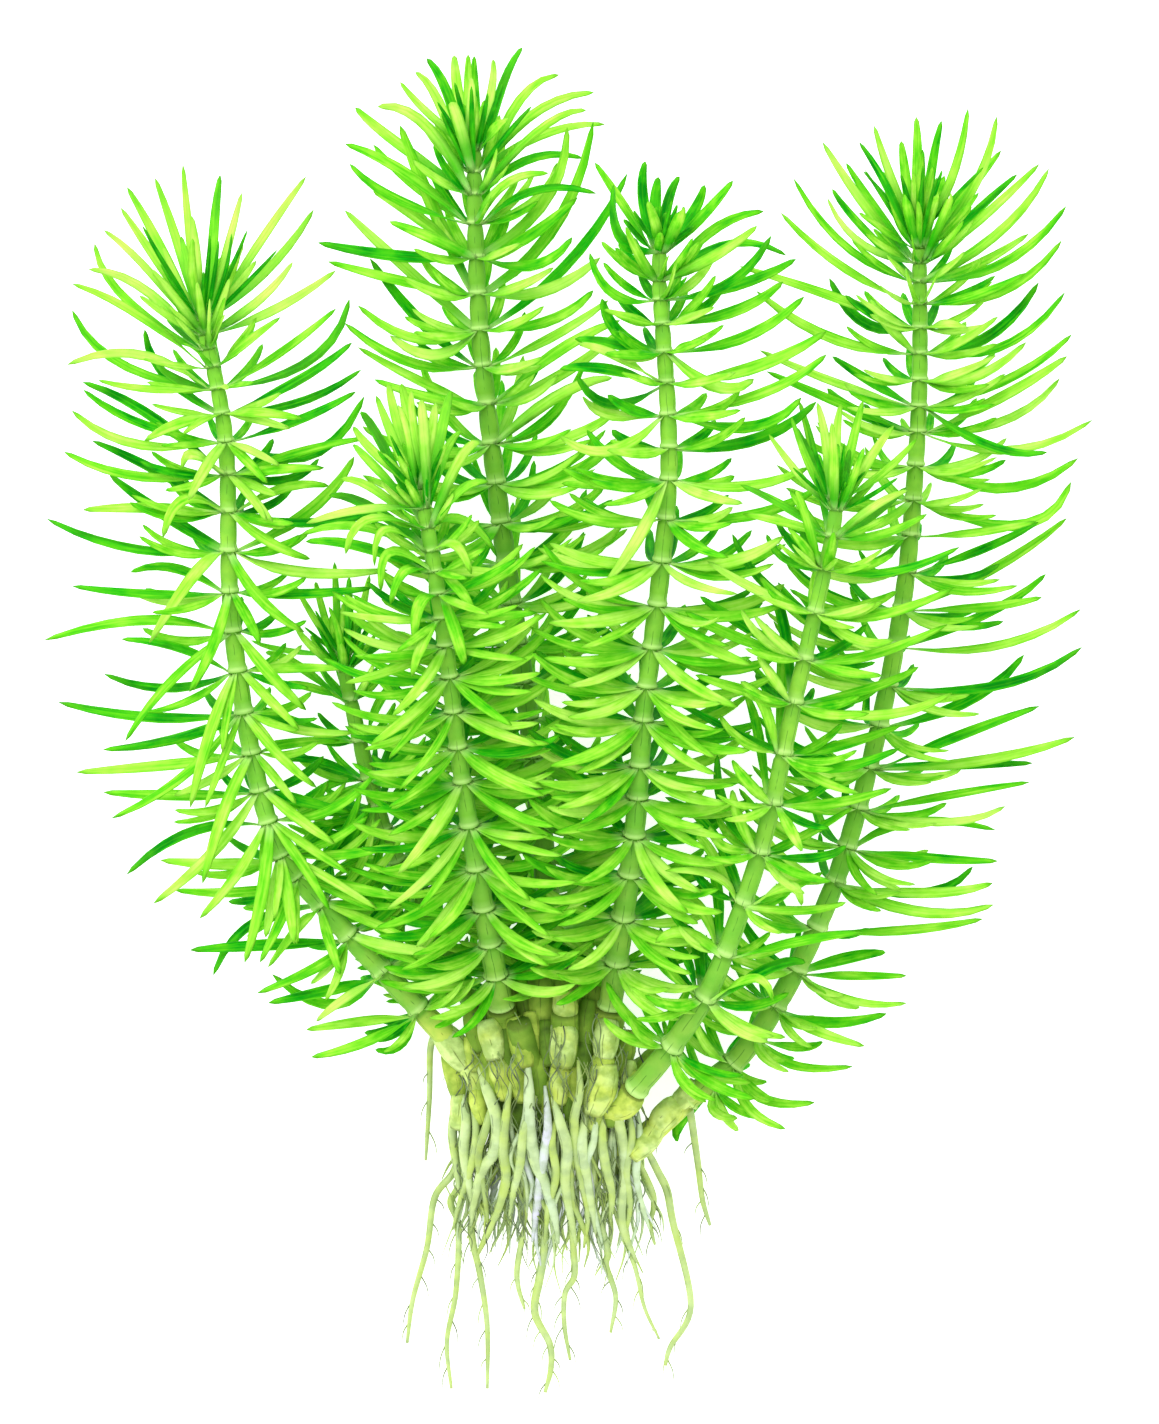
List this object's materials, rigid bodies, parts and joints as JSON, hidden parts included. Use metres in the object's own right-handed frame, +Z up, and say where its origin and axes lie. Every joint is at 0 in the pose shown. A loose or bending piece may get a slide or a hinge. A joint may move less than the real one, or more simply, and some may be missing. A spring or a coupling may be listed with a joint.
{
  "type": "uprooted bog plant clump",
  "caption": "Uprooted clump of a bog plant, lying down: jointed stems with rings of narrow leaves, a crown of swollen stem bases and bare roots",
  "frame": {"origin": "under the middle of the bounding box, at the height of the surface that the clump lies on", "axes": "+Y runs from the root tips to the stem tips, +X to the right of somebody looking down on it, +Z up from the surface"},
  "size_m": [0.1622, 0.2094, 0.0522],
  "materials": {
    "leafy": "satin",
    "crown": "matte",
    "root": "matte"
  },
  "bodies": {
    "root": {"shoot_far_left": "leafy", "shoot_small_left": "leafy", "shoot_mid_left": "leafy", "shoot_tallest": "leafy", "shoot_centre_right": "leafy", "shoot_front_right": "leafy", "shoot_far_right": "leafy", "crown": "crown", "root_mass": "root", "root_long_left": "root", "root_wavy_left": "root", "root_straight_left": "root", "root_short_middle": "root", "root_hooked_middle": "root", "root_thin_middle": "root", "root_middle_right": "root", "root_thin_right": "root", "root_short_right": "root", "root_long_right": "root", "root_side_left": "root", "root_side_right": "root"}
  },
  "joints": []
}
